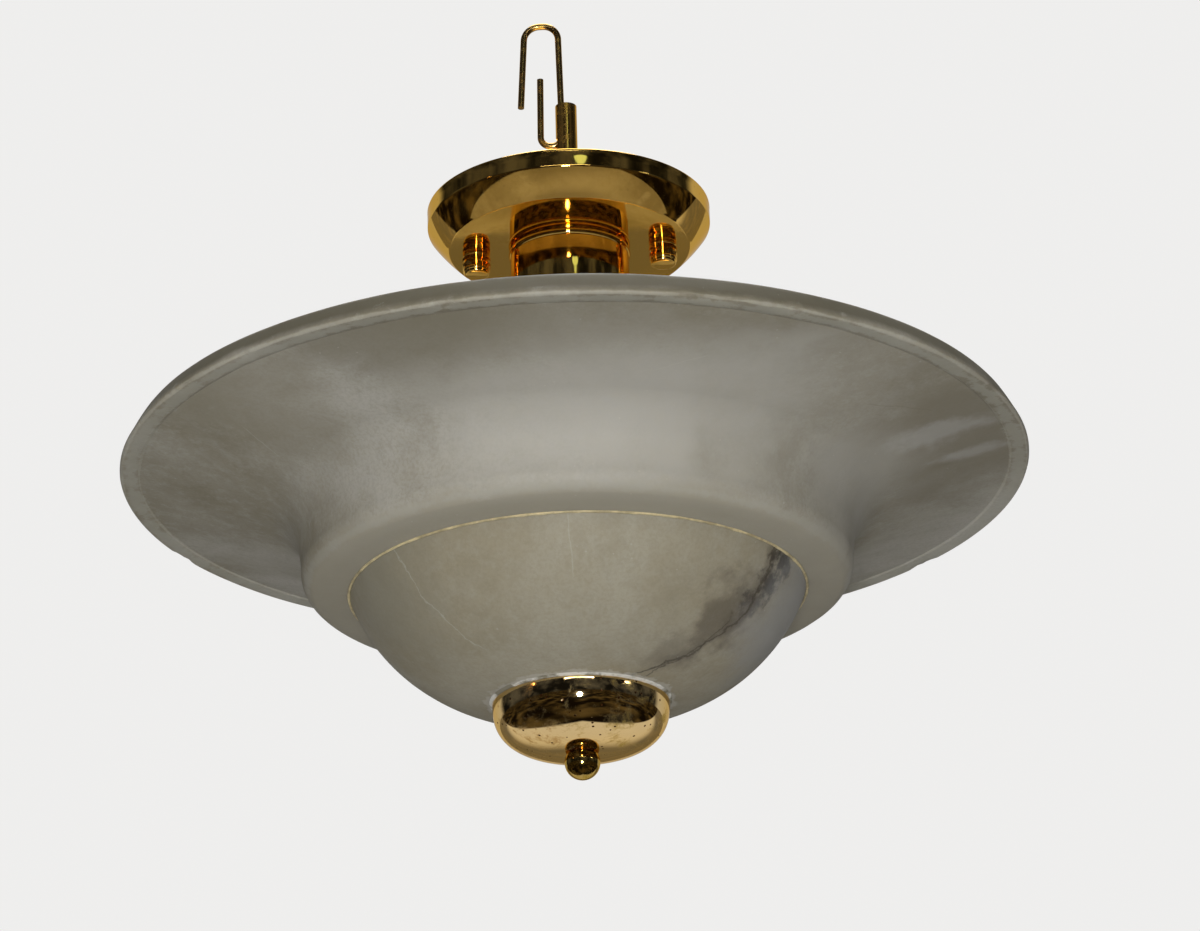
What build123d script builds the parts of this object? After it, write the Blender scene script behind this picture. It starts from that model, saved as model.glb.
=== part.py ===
"""Semi-flush ceiling light: a turned alabaster bowl carried under a brass canopy.

Millimetres, +Z up.  The origin is on the lamp's axis at the ceiling plane, so
the canopy's rim and the box bar's top face lie at z = 0 and the lamp hangs
below.  The bowl's heights are counted from lip_z, the lower edge of its lip.
"""
from build123d import *
from math import cos, pi, radians, sin, sqrt
import os

os.makedirs("parts", exist_ok=True)

# ---------------------------------------------------------------- driving sizes
lip_radius = 203.2            # a 16 inch bowl
lip_z = -134.5                # the lip's lower edge, below the ceiling plane
canopy_radius = 65.0          # a canopy 130 mm across
canopy_depth = 20.0
canopy_wall = 1.0
stem_radius = 5.0             # M10 lamp tube
stem_bore = 4.0
stem_top = 54.0
stem_bottom = -112.0
rod_radius = 3.0              # M6 draw rod that carries the bowl
stud_radius = 2.0             # M4
stud_spacing = 86.0           # between the two canopy studs
holder_circle = 48.0          # radius on which the three lampholders stand
holder_angles = (90, 210, 330)
thread_play = 0.05            # radial play between a thread and its nut
slip_play = 0.1               # radial play of a plain hole on a tube
free_gap = 0.35               # between pieces of different bodies that pass
nut_flats = 14.0              # M10 lamp nut across its flats
nut_height = 4.0

stem_hole = stem_radius + slip_play
stud_x = stud_spacing / 2


def nut_face(plane, hole, across_flats, places=((0, 0),)):
    """The hexagonal outline of one or more nuts lying in a plane."""
    with BuildSketch(plane) as face:
        with Locations(*places):
            RegularPolygon(across_flats / 2, 6, major_radius=False)
            Circle(hole, mode=Mode.SUBTRACT)
    return face.sketch


def ring_face(plane, hole, outer, places=((0, 0),)):
    """The outline of one or more washers or tubes lying in a plane."""
    with BuildSketch(plane) as face:
        with Locations(*places):
            Circle(outer)
            Circle(hole, mode=Mode.SUBTRACT)
    return face.sketch


def level(height):
    """The horizontal plane at a height."""
    return Plane.XY.offset(height)


# --------------------------------------------------------------- ceiling bracket
# Two crossed steel bars: the upper one is screwed to the ceiling box through its
# slots, the lower one carries the studs that the canopy hangs on.
bar_thickness = 2.0
bar_corner = 3.0
box_bar_length = 110.0
box_bar_width = 16.0
box_slot_spacing = 70.0
box_slot_length = 12.0
box_slot_width = 4.8
ground_y = -20.0
ground_shank = 1.9
canopy_bar_length = 104.0
canopy_bar_width = 14.0
box_bar_low = -bar_thickness
canopy_bar_low = -2 * bar_thickness

with BuildPart() as box_bar:
    with BuildSketch(level(box_bar_low)):
        RectangleRounded(box_bar_width, box_bar_length, bar_corner)
        Circle(stem_hole, mode=Mode.SUBTRACT)
        with Locations((0, ground_y)):
            Circle(ground_shank, mode=Mode.SUBTRACT)
        with GridLocations(0, box_slot_spacing, 1, 2):
            SlotOverall(box_slot_length, box_slot_width, rotation=90, mode=Mode.SUBTRACT)
    extrude(amount=bar_thickness)
box_bar.part.label = "box_bar"
export_step(box_bar.part, "parts/box_bar.step")

with BuildPart() as canopy_bar:
    with BuildSketch(level(canopy_bar_low)):
        RectangleRounded(canopy_bar_length, canopy_bar_width, bar_corner)
        Circle(stem_hole, mode=Mode.SUBTRACT)
        with GridLocations(stud_spacing, 0, 2, 1):
            Circle(stud_radius, mode=Mode.SUBTRACT)
    extrude(amount=bar_thickness)
canopy_bar.part.label = "canopy_bar"
export_step(canopy_bar.part, "parts/canopy_bar.step")

ground_head_radius = 3.6
ground_head_height = 2.6
ground_tail = 3.0
ground_slot_width = 1.0
ground_slot_depth = 1.2

with BuildPart() as ground_screw:
    with BuildSketch(level(box_bar_low - ground_head_height)):
        with Locations((0, ground_y)):
            Circle(ground_head_radius)
    extrude(amount=ground_head_height)
    with BuildSketch(level(box_bar_low)):
        with Locations((0, ground_y)):
            Circle(ground_shank)
    extrude(amount=bar_thickness + ground_tail)
    with BuildSketch(level(box_bar_low - ground_head_height)):
        with Locations((0, ground_y)):
            Rectangle(2 * ground_head_radius, ground_slot_width)
    extrude(amount=ground_slot_depth, mode=Mode.SUBTRACT)
ground_screw.part.label = "ground_screw"
export_step(ground_screw.part, "parts/ground_screw.step")

# ---------------------------------------------------------------- stem and hook
# The tube's upper end stands open for the supply wires.  A hole low in its left
# wall lets the wire hook out of the bore, so the hook can't pull free.
hook_wire = 1.5
hook_hole_radius = 2.8
hook_hole_z = 35.2
hook_route = (
    (-21.0, 0, 54.7),
    (-18.6, 0, 97.0),
    (-3.0, 0, 97.0),
    (-1.9, 0, 34.1),
    (-12.1, 0, 34.1),
    (-11.7, 0, 69.0),
)
hook_bends = (7.2, 7.2, 4.7, 4.7)

with BuildPart() as stem_tube:
    with BuildSketch(level(stem_bottom)):
        Circle(stem_radius)
        Circle(stem_bore, mode=Mode.SUBTRACT)
    extrude(amount=stem_top - stem_bottom)
    with BuildSketch(Plane((0, 0, hook_hole_z), x_dir=(0, 1, 0), z_dir=(-1, 0, 0))):
        Circle(hook_hole_radius)
    extrude(amount=2 * stem_radius, mode=Mode.SUBTRACT)
stem_tube.part.label = "stem_tube"
export_step(stem_tube.part, "parts/stem_tube.step")

with BuildPart() as hanging_hook:
    with BuildLine() as hook_line:
        FilletPolyline(*hook_route, radius=hook_bends)
    with BuildSketch(Plane(hook_line.line @ 0, z_dir=hook_line.line % 0)):
        Circle(hook_wire)
    sweep()
hanging_hook.part.label = "hanging_hook"
export_step(hanging_hook.part, "parts/hanging_hook.step")

# ------------------------------------------------------------------ the canopy
# A spun brass pan: a short upright wall, a rounded shoulder and a flat bottom.
canopy_upright = 9.6
canopy_shoulder = 10.0
canopy_low = -canopy_depth
canopy_stud_hole = 2.3
flat_radius = canopy_radius - canopy_shoulder
shoulder_drop = canopy_depth - canopy_upright
half_turn = radians(45)


def canopy_outline(inset):
    """The pan's outline, moved in by inset from its outer face."""
    wall = canopy_radius - inset
    floor = canopy_low + inset
    bend = (
        flat_radius + (canopy_shoulder - inset) * cos(half_turn),
        -canopy_upright - (shoulder_drop - inset) * sin(half_turn),
    )
    return (wall, 0), (wall, -canopy_upright), bend, (flat_radius, floor), (0, floor)


with BuildPart() as canopy:
    with BuildSketch(Plane.XZ):
        with BuildLine():
            rim, corner, bend, flat, centre = canopy_outline(0)
            Line(rim, corner)
            ThreePointArc(corner, bend, flat)
            Line(flat, centre)
            rim_in, corner_in, bend_in, flat_in, centre_in = canopy_outline(canopy_wall)
            Line(centre, centre_in)
            Line(centre_in, flat_in)
            ThreePointArc(flat_in, bend_in, corner_in)
            Line(corner_in, rim_in)
            Line(rim_in, rim)
        make_face()
    revolve(axis=Axis.Z)
    with BuildSketch(level(canopy_low)):
        Circle(stem_hole)
        with GridLocations(stud_spacing, 0, 2, 1):
            Circle(canopy_stud_hole)
    extrude(amount=canopy_depth, mode=Mode.SUBTRACT)
canopy.part.label = "canopy"
export_step(canopy.part, "parts/canopy.step")

# The studs hang from the lower bar, each locked by a small nut under it.
stud_top = -0.5
stud_bottom = -27.0
stud_nut_flats = 7.0
stud_nut_height = 3.0
stud_places = ((-stud_x, 0), (stud_x, 0))

with BuildPart() as canopy_studs:
    with BuildSketch(level(stud_bottom)):
        with Locations(*stud_places):
            Circle(stud_radius)
    extrude(amount=stud_top - stud_bottom)
canopy_studs.part.label = "canopy_studs"
export_step(canopy_studs.part, "parts/canopy_studs.step")

with BuildPart() as stud_locknuts:
    stud_nut_low = level(canopy_bar_low - stud_nut_height)
    extrude(nut_face(stud_nut_low, stud_radius, stud_nut_flats, stud_places), stud_nut_height)
stud_locknuts.part.label = "stud_locknuts"
export_step(stud_locknuts.part, "parts/stud_locknuts.step")

# A spacer tube between the lower bar's nut and the canopy keeps the pan from
# being crushed when the stack on the stem is tightened.
spacer_radius = 7.0
bar_nut_low = canopy_bar_low - nut_height

with BuildPart() as canopy_spacer:
    spacer_low = canopy_low + canopy_wall
    extrude(ring_face(level(spacer_low), stem_hole, spacer_radius), bar_nut_low - spacer_low)
canopy_spacer.part.label = "canopy_spacer"
export_step(canopy_spacer.part, "parts/canopy_spacer.step")

# ----------------------------------------------------------------- canopy knobs
# Turned cap nuts: two proud bands for the fingers with a groove between them, a
# chamfered end and a blind thread for the stud.
knob_radius = 6.4
knob_edge = 0.4
knob_band = knob_radius - knob_edge
knob_groove = 5.5
knob_end_radius = 5.9
knob_top = canopy_low - slip_play
knob_length = 9.9
knob_chamfer = 1.5
knob_end_chamfer = knob_length - knob_chamfer
upper_band_low = 3.3
lower_band_top = 4.5
lower_band_low = 8.2
knob_thread = stud_radius + thread_play
knob_thread_depth = 7.6

for side, knob_x in (("left", -stud_x), ("right", stud_x)):
    knob_plane = Plane((knob_x, 0, knob_top), x_dir=(1, 0, 0), z_dir=(0, -1, 0))
    with BuildPart() as canopy_knob:
        with BuildSketch(knob_plane):
            with BuildLine():
                Polyline(
                    (knob_thread, 0), (knob_band, 0), (knob_radius, -knob_edge),
                    (knob_radius, knob_edge - upper_band_low), (knob_band, -upper_band_low),
                    (knob_groove, -upper_band_low), (knob_groove, -lower_band_top),
                    (knob_band, -lower_band_top), (knob_radius, -lower_band_top - knob_edge),
                    (knob_radius, knob_edge - lower_band_low), (knob_band, -lower_band_low),
                    (knob_end_radius, -lower_band_low), (knob_end_radius, -knob_end_chamfer),
                    (knob_end_radius - knob_chamfer, -knob_length), (0, -knob_length),
                    (0, -knob_thread_depth), (knob_thread, -knob_thread_depth), close=True,
                )
            make_face()
        revolve(axis=Axis((knob_x, 0, 0), (0, 0, 1)))
    canopy_knob.part.label = f"canopy_knob_{side}"
    export_step(canopy_knob.part, f"parts/canopy_knob_{side}.step")

# --------------------------------------------------------------------- the neck
# A turned ring against the canopy, and a brass cup under it that hides the wires.
neck_radius = 27.3
neck_wall = 1.0
neck_ring_radius = 27.9
neck_ring_bore = 22.0
neck_ring_height = 4.0
neck_ring_groove = 0.8
neck_round = 0.7
neck_low = -72.0
neck_corner = 3.0
neck_top = canopy_low - neck_ring_height

with BuildPart() as neck_ring:
    with BuildSketch(Plane.XZ):
        with BuildLine():
            Polyline(
                (neck_ring_bore, canopy_low), (neck_radius - neck_round, canopy_low),
                (neck_radius - neck_round, canopy_low - neck_ring_groove),
                (neck_ring_radius - neck_round, canopy_low - neck_ring_groove),
            )
            ThreePointArc(
                (neck_ring_radius - neck_round, canopy_low - neck_ring_groove),
                (neck_ring_radius, (canopy_low - neck_ring_groove + neck_top) / 2),
                (neck_ring_radius - neck_round, neck_top),
            )
            Polyline(
                (neck_ring_radius - neck_round, neck_top), (neck_ring_bore, neck_top),
                (neck_ring_bore, canopy_low),
            )
        make_face()
    revolve(axis=Axis.Z)
neck_ring.part.label = "neck_ring"
export_step(neck_ring.part, "parts/neck_ring.step")

with BuildPart() as neck_cup:
    with BuildSketch(level(neck_low)):
        Circle(neck_radius)
    extrude(amount=neck_top - neck_low)
    fillet(neck_cup.edges().group_by(Axis.Z)[0], neck_corner)
    with BuildSketch(level(neck_low + neck_wall)):
        Circle(neck_radius - neck_wall)
    extrude(amount=neck_top - neck_low, mode=Mode.SUBTRACT)
    with BuildSketch(level(neck_low)):
        Circle(stem_hole)
    extrude(amount=neck_wall, mode=Mode.SUBTRACT)
neck_cup.part.label = "neck_cup"
export_step(neck_cup.part, "parts/neck_cup.step")

# ------------------------------------------------------------------ the cluster
# A turned collar sets the plate below the neck.  The plate is a shallow brass
# tray that the three lampholders hang from.
plate_top = -84.5
plate_thickness = 1.2
plate_radius = 70.0
plate_skirt = 6.0
collar_radius = 9.0
collar_waist = 6.8
plate_low = plate_top - plate_thickness

with BuildPart() as neck_collar:
    with BuildSketch(Plane.XZ):
        with BuildLine():
            Line((stem_hole, neck_low), (collar_radius, neck_low))
            ThreePointArc(
                (collar_radius, neck_low), (collar_waist, (neck_low + plate_top) / 2),
                (collar_radius, plate_top),
            )
            Line((collar_radius, plate_top), (stem_hole, plate_top))
            Line((stem_hole, plate_top), (stem_hole, neck_low))
        make_face()
    revolve(axis=Axis.Z)
neck_collar.part.label = "neck_collar"
export_step(neck_collar.part, "parts/neck_collar.step")

holder_places = [
    (holder_circle * cos(radians(turn)), holder_circle * sin(radians(turn)))
    for turn in holder_angles
]

with BuildPart() as cluster_plate:
    with BuildSketch(level(plate_top - plate_skirt)):
        Circle(plate_radius)
    extrude(amount=plate_skirt)
    fillet(cluster_plate.edges().group_by(Axis.Z)[-1], plate_thickness)
    with BuildSketch(level(plate_top - plate_skirt)):
        Circle(plate_radius - plate_thickness)
    extrude(amount=plate_skirt - plate_thickness, mode=Mode.SUBTRACT)
    with BuildSketch(level(plate_low)):
        with Locations((0, 0), *holder_places):
            Circle(stem_hole)
    extrude(amount=plate_thickness, mode=Mode.SUBTRACT)
cluster_plate.part.label = "cluster_plate"
export_step(cluster_plate.part, "parts/cluster_plate.step")

# Every nut on the stem is the same lamp nut: above and below the two bars, inside
# the neck, and under the cluster plate.
stem_nut_lows = (0.0, bar_nut_low, neck_low + neck_wall, plate_low - nut_height)

with BuildPart() as stem_locknuts:
    for low in stem_nut_lows:
        extrude(nut_face(level(low), stem_radius + thread_play, nut_flats), nut_height)
stem_locknuts.part.label = "stem_locknuts"
export_step(stem_locknuts.part, "parts/stem_locknuts.step")

nipple_top = -79.0
nipple_bottom = -91.0
nipple_bore = 3.8

with BuildPart() as holder_nipples:
    nipple_plane = level(nipple_bottom)
    nipples = ring_face(nipple_plane, nipple_bore, stem_radius, holder_places)
    extrude(nipples, nipple_top - nipple_bottom)
holder_nipples.part.label = "holder_nipples"
export_step(holder_nipples.part, "parts/holder_nipples.step")

with BuildPart() as holder_locknuts:
    nut_hole = stem_radius + thread_play
    extrude(nut_face(level(plate_top), nut_hole, nut_flats, holder_places), nut_height)
holder_locknuts.part.label = "holder_locknuts"
export_step(holder_locknuts.part, "parts/holder_locknuts.step")

# -------------------------------------------------------- lampholders and bulbs
# Each holder is a porcelain body in a brass cup, with a screw shell and a centre
# contact.  A small frosted bulb screws up into it.
cup_radius = 20.0
cup_wall = 0.8
cup_top = plate_low
cup_bottom = -116.0
cup_corner = 2.5
body_radius = 18.9
body_top = cup_top - cup_wall
body_roof = 5.0
body_bottom = -128.0
body_lip_radius = 20.0
body_lip_height = 8.0
shell_outer = 14.4
shell_inner = 13.6
shell_top = -96.0
shell_bottom = -126.0
contact_radius = 5.0
contact_thickness = 0.8
spring_radius = 2.6
spring_height = 2.5
bulb_tip = -95.2
bulb_button_radius = 4.0
bulb_glass_ring = 9.5
bulb_base_radius = 13.2
bulb_base_root = 12.5
bulb_base_top = -99.0
bulb_base_bottom = -121.0
bulb_thread_count = 5
bulb_neck_radius = 12.4
bulb_neck_z = -128.5
bulb_globe_radius = 24.0
bulb_globe_z = -162.0
bulb_bottom = -186.0
bulb_wall = 0.9
bulb_button_height = 1.0
flank_way = (0.25, -1)        # the direction in which the globe leaves the neck
body_roof_low = body_top - body_roof
contact_low = body_roof_low - contact_thickness
thread_pitch = (bulb_base_top - bulb_base_bottom) / bulb_thread_count


def bulb_outline(inset):
    """The bulb's outline, from its neck round to the bottom of the globe."""
    neck = (bulb_neck_radius - inset, bulb_base_bottom)
    throat = (bulb_neck_radius - inset, bulb_neck_z)
    widest = (bulb_globe_radius - inset, bulb_globe_z)
    bottom = (0, bulb_bottom + inset)
    return neck, throat, widest, bottom


for number, (x, y) in enumerate(holder_places, start=1):
    upright = Plane((x, y, 0), x_dir=(1, 0, 0), z_dir=(0, -1, 0))
    bulb_axis = Axis((x, y, 0), (0, 0, 1))

    with BuildPart() as socket_cup:
        with BuildSketch(level(cup_bottom)):
            with Locations((x, y)):
                Circle(cup_radius)
        extrude(amount=cup_top - cup_bottom)
        fillet(socket_cup.edges().group_by(Axis.Z)[-1], cup_corner)
        with BuildSketch(level(cup_bottom)):
            with Locations((x, y)):
                Circle(cup_radius - cup_wall)
        extrude(amount=body_top - cup_bottom, mode=Mode.SUBTRACT)
        with BuildSketch(level(body_top)):
            with Locations((x, y)):
                Circle(stem_hole)
        extrude(amount=cup_wall, mode=Mode.SUBTRACT)
    socket_cup.part.label = f"socket_cup_{number}"
    export_step(socket_cup.part, f"parts/socket_cup_{number}.step")

    with BuildPart() as holder_body:
        with BuildSketch(upright):
            with BuildLine():
                Polyline(
                    (stem_radius, body_top), (body_radius, body_top),
                    (body_radius, cup_bottom), (body_lip_radius, cup_bottom),
                    (body_lip_radius, cup_bottom - body_lip_height),
                    (body_radius, body_bottom), (shell_outer, body_bottom),
                    (shell_outer, body_roof_low), (stem_radius, body_roof_low), close=True,
                )
            make_face()
        revolve(axis=bulb_axis)
    holder_body.part.label = f"lampholder_body_{number}"
    export_step(holder_body.part, f"parts/lampholder_body_{number}.step")

    with BuildPart() as screw_shell:
        shell_face = ring_face(level(shell_bottom), shell_inner, shell_outer, ((x, y),))
        extrude(shell_face, shell_top - shell_bottom)
    screw_shell.part.label = f"screw_shell_{number}"
    export_step(screw_shell.part, f"parts/screw_shell_{number}.step")

    with BuildPart() as centre_contact:
        with BuildSketch(level(contact_low)):
            with Locations((x, y)):
                Circle(shell_outer)
                Circle(contact_radius, mode=Mode.SUBTRACT)
        extrude(amount=contact_thickness)
        with BuildSketch(level(contact_low)):
            with Locations((x, y)):
                Rectangle(2 * shell_outer - contact_thickness, spring_radius)
        extrude(amount=contact_thickness)
        with BuildSketch(level(contact_low - spring_height)):
            with Locations((x, y)):
                Circle(spring_radius)
        extrude(amount=spring_height)
    centre_contact.part.label = f"centre_contact_{number}"
    export_step(centre_contact.part, f"parts/centre_contact_{number}.step")

    with BuildPart() as bulb_base:
        with BuildSketch(upright):
            with BuildLine():
                Polyline(
                    (0, bulb_base_bottom), (0, bulb_tip), (bulb_button_radius, bulb_tip),
                    (bulb_button_radius, bulb_tip - bulb_button_height),
                    (bulb_glass_ring, bulb_base_top), (bulb_base_root, bulb_base_top),
                )
                for turn in range(bulb_thread_count):
                    crest_top = bulb_base_top - turn * thread_pitch
                    ThreePointArc(
                        (bulb_base_root, crest_top),
                        (bulb_base_radius, crest_top - thread_pitch / 2),
                        (bulb_base_root, crest_top - thread_pitch),
                    )
                Line((bulb_base_root, bulb_base_bottom), (0, bulb_base_bottom))
            make_face()
        revolve(axis=bulb_axis)
    bulb_base.part.label = f"bulb_base_{number}"
    export_step(bulb_base.part, f"parts/bulb_base_{number}.step")

    with BuildPart() as bulb_glass:
        with BuildSketch(upright):
            with BuildLine():
                neck, throat, widest, bottom = bulb_outline(0)
                neck_in, throat_in, widest_in, bottom_in = bulb_outline(bulb_wall)
                Line(neck, throat)
                TangentArc(throat, widest, tangent=flank_way)
                TangentArc(widest, bottom, tangent=(0, -1))
                Line(bottom, bottom_in)
                TangentArc(bottom_in, widest_in, tangent=(1, 0))
                TangentArc(throat_in, widest_in, tangent=flank_way)
                Line(throat_in, neck_in)
                Line(neck_in, neck)
            make_face()
        revolve(axis=bulb_axis)
    bulb_glass.part.label = f"bulb_glass_{number}"
    export_step(bulb_glass.part, f"parts/bulb_glass_{number}.step")

# ------------------------------------------------------------ rod and coupling
rod_gap = 1.0                 # between the stem's end and the rod inside the coupling
rod_chamfer = 0.5
rod_past_ball = 2.0           # how far the rod reaches below the finial's centre
coupling_top = -99.0
coupling_bottom = -125.0
coupling_radius = 8.0
coupling_chamfer = 1.0
cap_drop = 128.1              # from the lip down to the cap's lowest face
ball_drop = 131.9
ball_radius = 7.85
rod_top = stem_bottom - rod_gap
cap_bottom = lip_z - cap_drop
seat_z = cap_bottom - slip_play
ball_z = lip_z - ball_drop
rod_bottom = ball_z - rod_past_ball

with BuildPart() as rod_coupling:
    with BuildSketch(level(coupling_bottom)):
        Circle(coupling_radius)
    extrude(amount=coupling_top - coupling_bottom)
    chamfer(rod_coupling.edges(), coupling_chamfer)
    with BuildSketch(level(stem_bottom)):
        Circle(stem_radius)
    extrude(amount=coupling_top - stem_bottom, mode=Mode.SUBTRACT)
    with BuildSketch(level(coupling_bottom)):
        Circle(rod_radius)
    extrude(amount=coupling_top - coupling_bottom, mode=Mode.SUBTRACT)
rod_coupling.part.label = "rod_coupling"
export_step(rod_coupling.part, "parts/rod_coupling.step")

with BuildPart() as draw_rod:
    with BuildSketch(level(rod_bottom)):
        Circle(rod_radius)
    extrude(amount=rod_top - rod_bottom)
    chamfer(draw_rod.edges().group_by(Axis.Z)[0], rod_chamfer)
draw_rod.part.label = "draw_rod"
export_step(draw_rod.part, "parts/draw_rod.step")

# ---------------------------------------------------------------- alabaster brim
# A ring turned from one block: a lip with a flat band, a wide concave brim, a
# cove, an upright crown wall, and an inward ledge that the dome is glued into.
seam_radius = 101.2
seam_gap = 0.8
ledge_hole = seam_radius + seam_gap
seam_top = -45.5


def from_lip(radius, rise):
    """A point of the bowl's section, its height counted from the lip."""
    return radius, lip_z + rise


# The ring's section as (radius, height), from the lip over the top and back below.
lip_step = from_lip(194.5, 0.7)
lip_inner = from_lip(194.5, 0.0)
lip_under = from_lip(lip_radius - 1.0, 0.0)
lip_round = from_lip(lip_radius - 0.25, 0.35)
lip_widest = from_lip(lip_radius, 1.1)
band_top = from_lip(197.8, 10.6)
band_round = from_lip(197.2, 11.5)
rim_outer = from_lip(196.2, 11.8)
rim_inner = from_lip(190.0, 11.8)
flare_over = from_lip(163.0, 5.2)
cove_over_start = from_lip(137.5, -2.2)
cove_over = from_lip(120.5, -12.4)
wall_inside = from_lip(112.6, -29.0)
haunch_inside = from_lip(110.6, -40.6)
ledge_bore_top = from_lip(ledge_hole, seam_top)
ledge_bore_low = from_lip(ledge_hole, -54.0)
ledge_edge = from_lip(117.0, -52.3)
ledge_round = from_lip(121.4, -48.6)
wall_low = from_lip(122.6, -41.5)
wall_high = from_lip(123.8, -32.0)
cove_under = from_lip(129.2, -20.5)
flare_start = from_lip(142.0, -13.0)
flare_under = from_lip(167.0, -5.6)

with BuildPart() as alabaster_brim:
    with BuildSketch(Plane.XZ):
        with BuildLine():
            Line(lip_step, lip_inner)
            Line(lip_inner, lip_under)
            ThreePointArc(lip_under, lip_round, lip_widest)
            Line(lip_widest, band_top)
            ThreePointArc(band_top, band_round, rim_outer)
            Line(rim_outer, rim_inner)
            ThreePointArc(rim_inner, flare_over, cove_over_start)
            ThreePointArc(cove_over_start, cove_over, wall_inside)
            ThreePointArc(wall_inside, haunch_inside, ledge_bore_top)
            Line(ledge_bore_top, ledge_bore_low)
            Line(ledge_bore_low, ledge_edge)
            ThreePointArc(ledge_edge, ledge_round, wall_low)
            Line(wall_low, wall_high)
            ThreePointArc(wall_high, cove_under, flare_start)
            ThreePointArc(flare_start, flare_under, lip_step)
        make_face()
    revolve(axis=Axis.Z)
alabaster_brim.part.label = "alabaster_brim"
export_step(alabaster_brim.part, "parts/alabaster_brim.step")

# ---------------------------------------------------------------- alabaster dome
dome_flat_radius = 12.0
dome_flat = -107.5
dome_hole = 7.0
dome_rise = -54.1             # the dome's outer edge at the seam
dome_edge = (38.0, -104.3)
dome_bulge = (79.6, -84.8)
dome_floor = -97.0            # the dome's inner face at its middle

dome_rim = from_lip(seam_radius, dome_rise)
dome_rim_top = from_lip(seam_radius, seam_top)
dome_lug = from_lip(dome_flat_radius, dome_flat)
bore_low = from_lip(dome_hole, dome_flat)
bore_top = from_lip(dome_hole, dome_floor)
floor_edge = from_lip(34.0, -94.8)
floor_bulge = from_lip(71.8, -77.2)
floor_rim = from_lip(91.2, -50.0)
floor_rim_top = from_lip(92.0, seam_top)

with BuildPart() as alabaster_dome:
    with BuildSketch(Plane.XZ):
        with BuildLine():
            ThreePointArc(dome_rim, from_lip(*dome_bulge), from_lip(*dome_edge))
            Line(from_lip(*dome_edge), dome_lug)
            Line(dome_lug, bore_low)
            Line(bore_low, bore_top)
            Line(bore_top, floor_edge)
            ThreePointArc(floor_edge, floor_bulge, floor_rim)
            Line(floor_rim, floor_rim_top)
            Line(floor_rim_top, dome_rim_top)
            Line(dome_rim_top, dome_rim)
        make_face()
    revolve(axis=Axis.Z)
alabaster_dome.part.label = "alabaster_dome"
export_step(alabaster_dome.part, "parts/alabaster_dome.step")

seam_proud = 0.35
bead_low = from_lip(seam_radius + seam_gap / 2, dome_rise - seam_proud)

with BuildPart() as seam_adhesive:
    with BuildSketch(Plane.XZ):
        with BuildLine():
            Line(dome_rim_top, dome_rim)
            ThreePointArc(dome_rim, bead_low, ledge_bore_low)
            Line(ledge_bore_low, ledge_bore_top)
            Line(ledge_bore_top, dome_rim_top)
        make_face()
    revolve(axis=Axis.Z)
seam_adhesive.part.label = "seam_adhesive"
export_step(seam_adhesive.part, "parts/seam_adhesive.step")

bush_bore = rod_radius + 2 * free_gap
bush_flange = 11.0
bush_flange_height = 1.5

with BuildPart() as dome_bush:
    with BuildSketch(Plane.XZ):
        with BuildLine():
            Polyline(
                from_lip(bush_bore, dome_flat - bush_flange_height),
                from_lip(bush_flange, dome_flat - bush_flange_height),
                from_lip(bush_flange, dome_flat), bore_low, bore_top,
                from_lip(bush_bore, dome_floor), close=True,
            )
        make_face()
    revolve(axis=Axis.Z)
dome_bush.part.label = "dome_bush"
export_step(dome_bush.part, "parts/dome_bush.step")

# A fillet of white plaster on the stone, squeezed out all round the cap's rim.
cap_rim = -105.0
plaster_low = cap_rim + free_gap


def dome_height(radius):
    """Height of the dome's outer face at a radius, on the circle of its three points."""
    (x1, y1), (x2, y2), (x3, y3) = (seam_radius, dome_rise), dome_bulge, dome_edge
    area = 2 * (x1 * (y2 - y3) + x2 * (y3 - y1) + x3 * (y1 - y2))
    s1 = x1 ** 2 + y1 ** 2
    s2 = x2 ** 2 + y2 ** 2
    s3 = x3 ** 2 + y3 ** 2
    middle_x = (s1 * (y2 - y3) + s2 * (y3 - y1) + s3 * (y1 - y2)) / area
    middle_y = (s1 * (x3 - x2) + s2 * (x1 - x3) + s3 * (x2 - x1)) / area
    reach = sqrt((x1 - middle_x) ** 2 + (y1 - middle_y) ** 2)
    return middle_y - sqrt(reach ** 2 - (radius - middle_x) ** 2)


plaster_inner = 38.0
plaster_middle = 39.4
plaster_outer = 41.0

with BuildPart() as cap_plaster:
    with BuildSketch(Plane.XZ):
        with BuildLine():
            Polyline(
                from_lip(plaster_inner, dome_height(plaster_inner)),
                from_lip(plaster_inner, plaster_low), from_lip(plaster_middle, plaster_low),
                from_lip(plaster_outer, dome_height(plaster_outer)),
            )
            ThreePointArc(
                from_lip(plaster_outer, dome_height(plaster_outer)),
                from_lip(plaster_middle, dome_height(plaster_middle)),
                from_lip(plaster_inner, dome_height(plaster_inner)),
            )
        make_face()
    revolve(axis=Axis.Z)
cap_plaster.part.label = "cap_plaster"
export_step(cap_plaster.part, "parts/cap_plaster.step")

# ------------------------------------------------------------- cap and finial
# The brass cap is a shallow bowl, fuller than a half ellipse.  Its section is a
# superellipse, and the finial draws it up the rod against the stone.
cap_radius = 39.0
cap_depth = 23.1
cap_wall = 1.2
cap_fullness = 2.74
cap_hole = rod_radius + free_gap
cap_steps = 9


def cap_curve(inset):
    """Points down the cap's section, from its rim to near its middle."""
    points = []
    for step in range(cap_steps + 1):
        turn = pi / 2 * step / cap_steps
        reach = (cap_radius - inset) * cos(turn) ** (2 / cap_fullness)
        drop = (cap_depth - inset) * sin(turn) ** (2 / cap_fullness)
        points.append(from_lip(reach, cap_rim - drop))
    points[-1] = from_lip(0, cap_rim - cap_depth + inset)
    return points


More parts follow.
